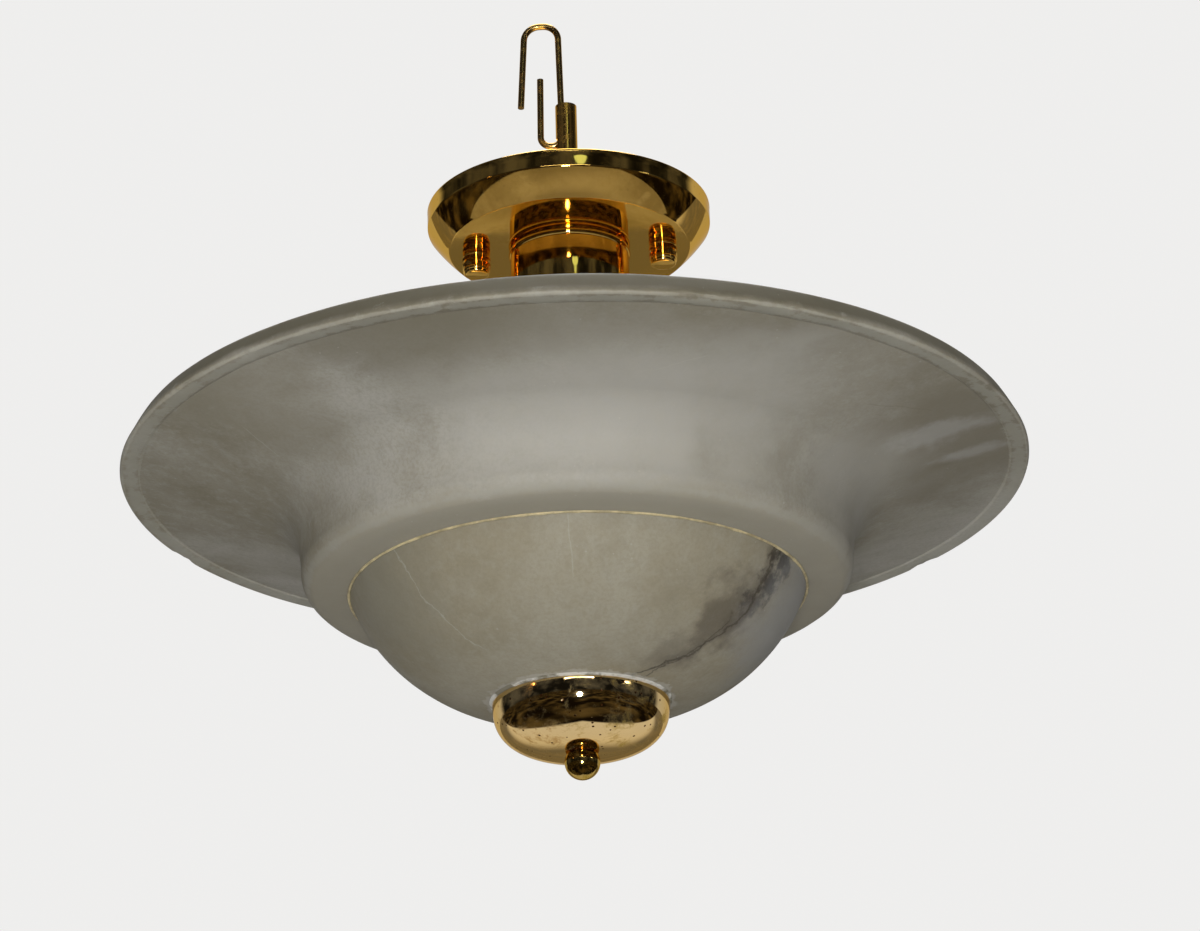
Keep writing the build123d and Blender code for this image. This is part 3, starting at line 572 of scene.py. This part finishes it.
bright_brass = brass_finish("bright_brass", (0.91, 0.585, 0.165, 1), 0.03, 0.12, 0.12)
cap_brass = brass_finish("cap_brass", (0.93, 0.70, 0.36, 1), 0.045, 0.75, 1.0)
ball_brass = brass_finish("ball_brass", (0.60, 0.42, 0.13, 1), 0.09, 0.8, 1.0)
pipe_brass = brass_finish("pipe_brass", (0.80, 0.47, 0.13, 1), 0.16, 0.6, 0.4)
dull_brass = brass_finish("dull_brass", (0.74, 0.55, 0.24, 1), 0.24, 0.6, 0.3)
wire_brass = brass_finish("wire_brass", (0.42, 0.28, 0.12, 1), 0.20, 1.0, 0.8)
print("brass finishes made")

# %% [markdown]
# ## The hidden fixture's finishes
# Steel bars and nuts are zinc plated, with the crystal bloom of the plating.  The
# lampholders are glazed porcelain, and the bulbs have a white diffusing coat
# inside thin glass.  These parts show only from the side and from above.

# %% Steel, porcelain, glass and small finishes


def plain_finish(name, first, second, scale, rough, metal=0.0, ridge=0.00005, coat=0.0,
                 spread=0.5):
    """Two tones in a fine grain; a small spread makes the grain hard edged."""
    finish, tree, shader, where = new_finish(name)
    grain = cloud(tree, where, scale, 6.0, 0.6, x=-900, y=100)
    blotch = put(tree, "ShaderNodeTexVoronoi", -900, -200, Scale=scale * 0.7)
    join(tree, where, blotch.inputs["Vector"])
    share = span(tree, grain, 0.5 - spread, 0.5 + spread, -700, 100)
    join(tree, mixed(tree, share, first, second, -500, 100), shader.inputs["Base Color"])
    soft = span(tree, blotch.outputs["Distance"], 0.0, 0.9, -500, -200, (rough * 0.8, rough * 1.2))
    join(tree, soft, shader.inputs["Roughness"])
    raised(tree, shader, sums(tree, "MULTIPLY", grain, ridge, -500, -400), 0.3, -200, -300)
    settle(shader, Metallic=metal, Coat_Weight=coat)
    return finish


zinc = plain_finish("zinc_plate", (0.50, 0.50, 0.48, 1), (0.66, 0.66, 0.64, 1), 240.0, 0.32, 1.0)
earth_green = plain_finish("earth_green", (0.02, 0.20, 0.05, 1), (0.03, 0.30, 0.08, 1),
                           300.0, 0.35, coat=0.4)
porcelain = plain_finish("porcelain", (0.74, 0.72, 0.66, 1), (0.80, 0.79, 0.74, 1),
                         40.0, 0.18, ridge=0.00002, coat=0.5)
alloy = plain_finish("bulb_alloy", (0.62, 0.62, 0.61, 1), (0.74, 0.74, 0.73, 1), 200.0, 0.28, 1.0)
opal = plain_finish("opal_glass", (0.80, 0.79, 0.76, 1), (0.84, 0.84, 0.81, 1),
                    90.0, 0.22, ridge=0.00001, coat=0.6)
settle(opal.node_tree.nodes["Principled BSDF"], Subsurface_Weight=0.3, Subsurface_Scale=0.004)
plaster = plain_finish("dry_plaster", (0.27, 0.25, 0.19, 1), (0.80, 0.79, 0.74, 1),
                       85.0, 0.85, ridge=0.0002, spread=0.07)
glue = plain_finish("stone_glue", (0.72, 0.61, 0.35, 1), (0.40, 0.33, 0.19, 1),
                    130.0, 0.6, ridge=0.0001, spread=0.16)
fibre = plain_finish("red_fibre", (0.10, 0.03, 0.015, 1), (0.16, 0.05, 0.025, 1), 350.0, 0.6)
print("other finishes made")

# %% [markdown]
# ## The alabaster brim
# The ring was turned from one block: a band at the lip, a wide hollow brim, a cove
# and an upright wall that ends in a ledge.  The outline is drawn from the lip's
# lower edge round to the upper face, and then spun in many steps, because the big
# curves have to stay smooth and the lip needs close points for its chips.

# %% Brim outline
lip_height = -134.5        # the underside of the lip, in mm below the ceiling


def from_lip(points):
    return [(r, lip_height + rise) for r, rise in points]


brim_under = [(102.0, -54.0), (110.0, -53.1), (117.0, -52.3)]
brim_under += arc((117.0, -52.3), (121.4, -48.6), (122.6, -41.5), 9)
brim_under += [(123.25, -36.8), (123.8, -32.0)]
brim_under += arc((123.8, -32.0), (129.2, -20.5), (142.0, -13.0), 14)
brim_under += arc((142.0, -13.0), (167.0, -5.6), (193.2, 0.4), 22)
brim_under += arc((193.2, 0.4), (194.0, 0.5), (194.5, 0.15), 3)
lip_band = [(195.4, 0.02), (198.5, 0.0), (201.4, 0.0)]
lip_band += arc((201.4, 0.0), (202.7, 0.5), (203.2, 1.9), 6)
lip_band += [(202.2, 3.8), (201.2, 5.7), (200.2, 7.6), (199.2, 9.4), (198.5, 10.6)]
lip_band += arc((198.5, 10.6), (197.6, 11.5), (196.2, 11.8), 5)
brim_over = [(193.0, 11.8), (190.0, 11.8)]
brim_over += arc((190.0, 11.8), (163.0, 5.2), (137.5, -2.2), 12)
brim_over += arc((137.5, -2.2), (120.5, -12.4), (112.6, -29.0), 9)
brim_over += arc((112.6, -29.0), (110.6, -40.6), (102.0, -45.5), 8)
stone_brim = turned("stone_brim", from_lip(brim_under + lip_band + brim_over), steps=360, sharp=40)
print("brim outline points", len(brim_under + lip_band + brim_over))

# %% [markdown]
# Hand finishing leaves the stone slightly uneven, and years of handling have
# nibbled the lip.  A wide, weak cloud pushes the whole surface inwards by up to three
# tenths of a millimetre, never outwards, so that the lip stays inside the engineering
# model's box.  Finer, harder clouds bite only where a vertex group says.

# %% Wear on the brim


def uneven(piece, name, size, strength, group=None, middle=0.5):
    """Pushes a surface in and out along its normals with a cloud pattern."""
    clear_selection()
    piece.select_set(True)
    bpy.context.view_layer.objects.active = piece
    texture = bpy.data.textures.new(name, "CLOUDS")
    texture.noise_scale = size
    texture.noise_depth = 3
    push = piece.modifiers.new(name, "DISPLACE")
    push.texture = texture
    push.texture_coords = "LOCAL"
    push.strength = strength
    push.mid_level = middle
    if group:
        push.vertex_group = group
    bpy.ops.object.modifier_apply(modifier=name)


def worn_edge(piece, group_name, radius, height, reach, places):
    """A vertex group along an edge, strong only within the given places (degrees)."""
    group = piece.vertex_groups.new(name=group_name)
    for v in piece.data.vertices:
        r = hypot(v.co.x, v.co.y) / MM
        away = hypot(r - radius, v.co.z / MM - height)
        if away > reach:
            continue
        turn = atan2(v.co.y, v.co.x) * 180 / pi
        here = max(1 - abs((turn - at + 180) % 360 - 180) / wide for at, wide in places)
        if here > 0:
            group.add([v.index], min(1.0, here * 1.6) * (1 - away / reach), "REPLACE")


uneven(stone_brim, "hand_finish", 0.05, 0.00035, middle=0.95)
chip_places = [(-71, 4.0), (-66, 2.5), (-59, 3.0), (-100, 2.0), (-128, 2.0), (-139, 2.5),
               (-22, 3.0), (40, 3), (95, 4), (160, 3)]
worn_edge(stone_brim, "chips", 202.6, lip_height + 0.6, 3.2, chip_places)
uneven(stone_brim, "lip_chips", 0.0022, 0.0022, "chips", 0.9)
step_places = [(-75, 6), (-63, 5), (-52, 4), (-130, 5), (70, 6)]
worn_edge(stone_brim, "step_chips", 194.3, lip_height + 0.3, 1.6, step_places)
uneven(stone_brim, "step_nibbles", 0.0016, 0.0010, "step_chips", 0.7)
stand_in(stone_brim, "bowl", "alabaster", brim_stone, "alabaster_brim")

# %% [markdown]
# ## The alabaster dome
# The bottom of the bowl is a second block, turned as a shallow dome with a hole in
# its middle for the rod.  It sits inside the ring, and its edge is a little softer
# than the ring's.

# %% Dome
dome_line = [(7.0, -97.0), (7.0, -107.5), (12.0, -107.5), (25.0, -105.9), (38.0, -104.3)]
dome_line += arc((38.0, -104.3), (79.6, -84.8), (101.0, -54.4), 36)
dome_line += [(101.2, -54.1), (101.2, -50.0), (101.2, -45.5), (92.0, -45.5), (91.2, -50.0)]
dome_line += arc((91.2, -50.0), (71.8, -77.2), (34.0, -94.8), 18)
stone_dome = turned("stone_dome", from_lip(dome_line), steps=288, sharp=40)
uneven(stone_dome, "dome_finish", 0.045, 0.0003)
stand_in(stone_dome, "bowl", "alabaster", dome_stone, "alabaster_dome")

# %% [markdown]
# ## The glued seam
# A cream stone adhesive fills the joint.  It stands a hair proud of the ledge and
# has chipped away in places, so the bead is spun with close points and then made
# uneven.

# %% Seam bead
bead = [(101.2, -45.5), (101.2, -53.6), (100.95, -54.25)]
bead += arc((100.95, -54.25), (101.5, -54.8), (102.25, -54.1), 6)
bead += [(102.0, -53.6), (102.0, -45.5)]
all_round = [(0, 200)]
seam_bead = turned("seam_bead", from_lip(bead), steps=480, sharp=60)
worn_edge(seam_bead, "bead", 101.6, lip_height - 54.5, 1.4, all_round)
uneven(seam_bead, "bead_ripple", 0.004, 0.0011, "bead", 0.55)
stand_in(seam_bead, "bowl", "seam_adhesive", glue, "seam_adhesive")

# %% [markdown]
# ## The brass canopy
# The pan was spun from a brass disc over a former: a straight wall, a sloping
# shoulder and a flat bottom that came out almost as true as a mirror.  The flat is
# what shows the neck and the two nuts a second time.

# %% Canopy
canopy_line = [(5.1, -20.0), (20.0, -20.0), (40.0, -20.0), (54.7, -20.0)]
canopy_line += arc((54.7, -20.0), (55.15, -19.9), (55.5, -19.6), 4)
canopy_line += arc((55.5, -19.6), (60.45, -14.35), (64.7, -8.9), 12)
canopy_line += arc((64.7, -8.9), (64.93, -8.5), (65.0, -8.0), 4)
canopy_line += [(65.0, -4.0), (65.0, -1.0)] + arc((65.0, -1.0), (64.85, -0.2), (64.5, 0.0), 4)
canopy_line += [(64.0, -0.4), (64.0, -8.2)]
canopy_line += arc((64.0, -8.2), (59.6, -13.7), (54.9, -18.7), 8) + [(54.4, -19.0), (5.1, -19.0)]
canopy_pan = turned("canopy_pan", canopy_line, steps=256, sharp=35)
stand_in(canopy_pan, "fixture", "aged_brass", bright_brass, "canopy")

# %% [markdown]
# ## The neck
# A turned ring with a rounded edge seats against the canopy, and the cup below it
# hides the wires.  Both were polished on the lathe.

# %% Neck ring and cup
ring_line = [(22.0, -20.0), (26.6, -20.0), (26.6, -20.8), (27.2, -20.8)]
ring_line += arc((27.2, -20.8), (27.9, -22.4), (27.2, -24.0), 10) + [(22.0, -24.0)]
neck_trim = turned("neck_trim", ring_line, steps=160, sharp=35)
stand_in(neck_trim, "fixture", "aged_brass", bright_brass, "neck_ring")

cup_line = [(5.1, -72.0), (14.0, -72.0), (24.3, -72.0)]
cup_line += arc((24.3, -72.0), (26.42, -71.12), (27.3, -69.0), 10)
cup_line += [(27.3, -55.0), (27.3, -40.0), (27.3, -24.4)]
cup_line += arc((27.3, -24.4), (27.18, -24.12), (26.9, -24.0), 3)
cup_line += [(26.3, -24.2), (26.3, -69.0)]
cup_line += arc((26.3, -69.0), (25.7, -70.4), (24.3, -71.0), 6) + [(5.1, -71.0)]
neck_sleeve = turned("neck_sleeve", cup_line, steps=160, sharp=35)
stand_in(neck_sleeve, "fixture", "aged_brass", bright_brass, "neck_cup")

# %% [markdown]
# ## The canopy nuts
# Two turned nuts hold the canopy on its studs.  Each has plain beads for a smooth
# look and narrow knurled rings for the fingers.  The knurl is cut by moving every
# second column of points on a ring out from the nut's own axis.

# %% Knurled nuts
knob_columns = 60          # ridges of the knurl
knob_drop = 20.1           # mm below the ceiling
knob_from_axis = 0.043
knurl_scale = 1.05


def knob_outline():
    line = [(2.05, 0.0), (5.7, 0.0)] + arc((5.7, 0.0), (6.3, -0.6), (5.75, -1.25), 6)
    line += [(5.75, -1.4), (6.1, -1.55), (6.1, -2.25), (5.8, -2.35)]
    line += [(6.1, -2.45), (6.1, -3.15), (5.75, -3.3)]
    line += [(5.5, -3.35), (5.45, -3.9), (5.5, -4.45), (5.75, -4.5)]
    line += [(6.1, -4.65), (6.1, -5.3), (5.8, -5.4), (6.1, -5.5), (6.1, -6.15), (5.8, -6.3)]
    line += [(5.8, -6.4)] + arc((5.8, -6.4), (6.3, -7.3), (5.9, -8.2), 8)
    line += arc((5.9, -8.2), (5.6, -9.35), (4.6, -9.9), 6)
    line += [(0.0, -9.9), (0.0, -7.6), (2.05, -7.6)]
    return [(r, z - knob_drop) for r, z in line]


knurl_rows = [-1.55, -2.25, -2.45, -3.15, -4.65, -5.3, -5.5, -6.15]
for side, knob_x in (("left", -knob_from_axis), ("right", knob_from_axis)):
    nut = turned(f"canopy_nut_{side}", knob_outline(), steps=2 * knob_columns, sharp=30,
                 centre=(knob_x, 0.0))
    bpy.ops.object.mode_set(mode="EDIT")
    bpy.ops.mesh.select_mode(type="VERT")
    bpy.ops.mesh.select_all(action="DESELECT")
    bpy.ops.object.mode_set(mode="OBJECT")
    for v in nut.data.vertices:
        row = v.co.z / MM + knob_drop
        column = round(atan2(v.co.y, v.co.x - knob_x) / (pi / knob_columns))
        v.select = column % 2 == 0 and any(abs(row - knurl) < 0.02 for knurl in knurl_rows)
    bpy.ops.object.mode_set(mode="EDIT")
    bpy.ops.transform.resize(value=(knurl_scale, knurl_scale, 1.0), center_override=(knob_x, 0, 0))
    bpy.ops.object.mode_set(mode="OBJECT")
    stand_in(nut, f"canopy_knob_{side}", "aged_brass", bright_brass, f"canopy_knob_{side}")

# %% [markdown]
# ## The bottom cap and the finial
# The cap is a shallow spun bowl, fuller than a half ellipse.  The ball finial
# screws up the rod and draws it against the stone.

# %% Cap and finial
cap_radius, cap_depth, cap_wall = 39.0, 23.1, 1.2
cap_fullness = 2.74        # 2 would be a half ellipse
cap_flat = 7.0             # radius of the flat that the finial sits on
cap_rim_z = lip_height - 105.0


def cap_curve(inset, steps):
    """A quarter of the cap's outline, from the rim to the flat."""
    line = []
    for k in range(steps + 1):
        turn = pi / 2 * k / steps
        reach = (cap_radius - inset) * cos(turn) ** (2 / cap_fullness)
        drop = (cap_depth - inset) * sin(turn) ** (2 / cap_fullness)
        line.append((reach, cap_rim_z - drop))
    return [p for p in line if p[0] > cap_flat]


cap_low = cap_rim_z - cap_depth
cap_line = [(38.6, cap_rim_z), (38.95, cap_rim_z - 0.25)] + cap_curve(0.0, 48)[1:]
cap_line += [(3.35, cap_low), (3.35, cap_low + cap_wall)] + list(reversed(cap_curve(cap_wall, 24)))
spun_cap = turned("spun_cap", cap_line, steps=240, sharp=40)
stand_in(spun_cap, "cap", "aged_brass", cap_brass, "bottom_cap")

ball_z, ball_radius = lip_height - 131.9, 7.85
rod_hole, rod_hole_top = 3.05, cap_low - 8.1
neck_radius, neck_low = 6.4, cap_low - 0.8
ball_top = (sqrt(ball_radius ** 2 - (neck_low - ball_z) ** 2), neck_low)
finial_line = [(rod_hole, cap_low - 0.1), (neck_radius - 0.2, cap_low - 0.1)]
finial_line += [(neck_radius, cap_low - 0.3), (neck_radius, neck_low), ball_top]
finial_line += arc(ball_top, (ball_radius, ball_z), (0.0, ball_z - ball_radius), 40)
finial_line += [(0.0, rod_hole_top), (rod_hole, rod_hole_top)]
ball_finial = turned("ball_finial", finial_line, steps=128, sharp=35)
stand_in(ball_finial, "finial", "aged_brass", ball_brass, "finial")

# %% [markdown]
# ## Plaster round the cap
# White plaster was pressed between cap and stone and never cleaned off quite well.
# It is a thin ragged ring, missing in places.

# %% Plaster residue
plaster_line = [(38.0, -104.3), (38.0, -104.75), (38.8, -104.8), (39.5, -104.45),
                (40.3, -103.95), (39.2, -104.0)]
plaster_ring = turned("plaster_ring", from_lip(plaster_line), steps=480, sharp=60)
worn_edge(plaster_ring, "crumbs", 39.6, lip_height - 104.4, 1.5, all_round)
uneven(plaster_ring, "crumbled", 0.0035, 0.0022, "crumbs", 0.75)
stand_in(plaster_ring, "bowl", "plaster", plaster, "cap_plaster")

# %% [markdown]
# ## Pieces that keep their engineering shape
# The bars, nuts, holders and the hook already have their true form, so they only
# get their finishes.

# %% Finishes on carried-over pieces


def dress(material, *names):
    for name in names:
        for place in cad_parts[name].material_slots:
            place.material = material


dress(zinc, "box_bar", "canopy_bar", "canopy_studs", "stud_locknuts", "canopy_spacer",
      "stem_locknuts", "holder_nipples", "holder_locknuts", "rod_coupling", "draw_rod",
      "cap_washer")
dress(earth_green, "ground_screw")
dress(pipe_brass, "stem_tube")
dress(wire_brass, "hanging_hook")
dress(dull_brass, "neck_collar", "cluster_plate")
dress(fibre, "dome_bush")
for number in (1, 2, 3):
    dress(dull_brass, f"socket_cup_{number}", f"screw_shell_{number}", f"centre_contact_{number}")
    dress(porcelain, f"lampholder_body_{number}")
    dress(opal, f"bulb_glass_{number}")
    dress(alloy, f"bulb_base_{number}")
print("carried-over pieces dressed")

# %% [markdown]
# ## Floor and backdrop
# The lamp hangs in front of a plain pale backdrop, as in a studio.  Polished brass
# needs something dark to mirror as well.  Rays that come from a mirror see a dark
# room in front of the lamp, with a little warm clutter in it, and a pale floor and
# wall behind it, while the eye sees only the plain backdrop.  The floor is open to
# anyone who looks up through it, so that the lamp can be seen from right below.

# %% Floor
floor_size, floor_level = 60, -1.35
no_light = (0, 0, 0, 1)
floor_paint = (0.80, 0.80, 0.79, 1)
floor_glow = (0.71, 0.71, 0.70, 1)
floor_in_mirror = (1.0, 0.97, 0.93, 1)
dark_in_mirror = (0.006, 0.004, 0.002, 1)
clutter_in_mirror = (0.09, 0.066, 0.03, 1)


def seen_plainly(tree, rays, x, y):
    """1 for what the eye sees directly or through glass, not in a mirror."""
    return sums(tree, "MAXIMUM", rays["Is Camera Ray"], rays["Is Transmission Ray"], x, y)


bpy.context.scene.view_settings.view_transform = "Standard"
clear_selection()
bpy.ops.mesh.primitive_plane_add(size=floor_size, location=(0, 0, floor_level))
floor = bpy.context.active_object
floor.name = "floor"
floor_finish, tree, shader, where = new_finish("pale_floor")
rays = put(tree, "ShaderNodeLightPath", -900, 300).outputs
axes = put(tree, "ShaderNodeSeparateXYZ", -900, -100)
join(tree, where, axes.inputs[0])
sideways = sums(tree, "ABSOLUTE", axes.outputs["X"], None, -850, -250)
sideways = sums(tree, "MULTIPLY", sideways, -0.65, -700, -250)
depth = sums(tree, "ADD", axes.outputs["Y"], sideways, -600, -100)
behind = span(tree, depth, 0.12, 0.22, -450, -100)
fading = span(tree, axes.outputs["Y"], 1.6, 2.8, -450, -250, (0.58, 0.15))
pale_share = sums(tree, "MULTIPLY", behind, fading, -150, 0)
clutter = cloud(tree, where, 1.1, 3.0, x=-700, y=-450)
clutter = span(tree, clutter, 0.42, 0.70, -500, -450)
dim_front = mixed(tree, clutter, dark_in_mirror, clutter_in_mirror, -250, -450)
mirror_glow = mixed(tree, pale_share, dim_front, floor_in_mirror, 0, 100)
in_mirror = rays["Is Glossy Ray"]
seen = seen_plainly(tree, rays, -450, 500)
plain_glow = mixed(tree, seen, no_light, floor_glow, -250, 500)
glow = mixed(tree, in_mirror, plain_glow, mirror_glow, 150, 200)
join(tree, glow, shader.inputs["Emission Color"])
paint = mixed(tree, in_mirror, floor_paint, no_light, -250, 300)
join(tree, paint, shader.inputs["Base Color"])
from_below = put(tree, "ShaderNodeNewGeometry", -250, 700).outputs["Backfacing"]
join(tree, sums(tree, "SUBTRACT", 1.0, from_below, -50, 700), shader.inputs["Alpha"])
settle(shader, Emission_Strength=1.0, Roughness=0.9, Specular_IOR_Level=0.0)
floor.data.materials.append(floor_finish)
print("floor at", floor_level)

# %% Backdrop
ambient_level = 0.13       # what lights the lamp from all round
backdrop_level = 0.86      # what the eye sees
wall_in_mirror = 0.47      # the wall behind the lamp, in a mirror
room_in_mirror = (0.006, 0.08)

room = bpy.data.worlds.new("room")
room.use_nodes = True
bpy.context.scene.world = room
sky = room.node_tree
rays = put(sky, "ShaderNodeLightPath", -900, 300).outputs
outlook = put(sky, "ShaderNodeTexCoord", -900, -100).outputs["Generated"]
facing = put(sky, "ShaderNodeSeparateXYZ", -700, -100)
join(sky, outlook, facing.inputs[0])
wall_side = span(sky, facing.outputs["Y"], 0.38, 0.56, -500, -100)
furniture = cloud(sky, outlook, 2.6, 4.0, 0.55, x=-700, y=-350)
room_level = span(sky, furniture, 0.42, 0.70, -500, -350, room_in_mirror)
mirror_level = chosen(sky, wall_side, room_level, wall_in_mirror, -350, -100)
level = chosen(sky, rays["Is Glossy Ray"], ambient_level, mirror_level, -250, 100)
level = chosen(sky, seen_plainly(sky, rays, -500, 300), level, backdrop_level, 0, 100)
backdrop = sky.nodes["Background"]
backdrop.inputs["Color"].default_value = (1.0, 0.995, 0.985, 1)
join(sky, level, backdrop.inputs["Strength"])
print("backdrop level", backdrop_level)

# %% [markdown]
# ## Light
# A soft key light stands beside the camera and draws the bright spots on the neck,
# the nuts and the cap.  Small lights higher up draw the thin lines along the brass
# edges and the greenish glow on the canopy's wall.  A large one overhead lights the
# inside of the bowl, and a weak fill that no mirror shows opens the left side.

# %% Lights


def soft_light(name, azimuth, elevation, distance, wide, tall, power, aim=(0, 0, -0.13),
               tint=(1, 1, 1), shape="ELLIPSE"):
    """An area light placed round the lamp; azimuth 0 is the photographer's side."""
    turn, rise = radians(azimuth), radians(elevation)
    away = Vector((sin(turn) * cos(rise), -cos(turn) * cos(rise), sin(rise))) * distance
    clear_selection()
    bpy.ops.object.light_add(type="AREA", location=Vector(aim) + away)
    lamp = bpy.context.active_object
    lamp.name = name
    lamp.data.shape = shape
    lamp.data.size, lamp.data.size_y = wide, tall
    lamp.data.energy = power
    lamp.data.color = tint
    lamp.rotation_euler = (-away).to_track_quat("-Z", "Y").to_euler()
    return lamp


soft_light("key", 3, -18, 1.75, 0.17, 0.36, 16)
soft_light("high_window", 3, 17, 2.0, 1.3, 0.08, 2.6, aim=(0, 0, -0.1),
           tint=(1.0, 0.96, 0.82), shape="RECTANGLE")
soft_light("side_window", 66, 15, 2.0, 0.34, 0.07, 0.5, aim=(0, 0, -0.15), tint=(1.0, 0.97, 0.85))
soft_light("far_lamp", -58, 16, 2.0, 0.12, 0.10, 0.16, aim=(0, 0, -0.15), tint=(1.0, 0.55, 0.2))
soft_light("wall_glow", 15, 27, 2.0, 0.34, 0.24, 0.2, aim=(0, 0, -0.01), tint=(0.75, 1.0, 0.6))
soft_light("overhead", 180, 78, 1.5, 1.0, 1.0, 16)
fill = soft_light("fill", -30, -35, 2.2, 1.2, 1.2, 4)
fill.visible_glossy = False
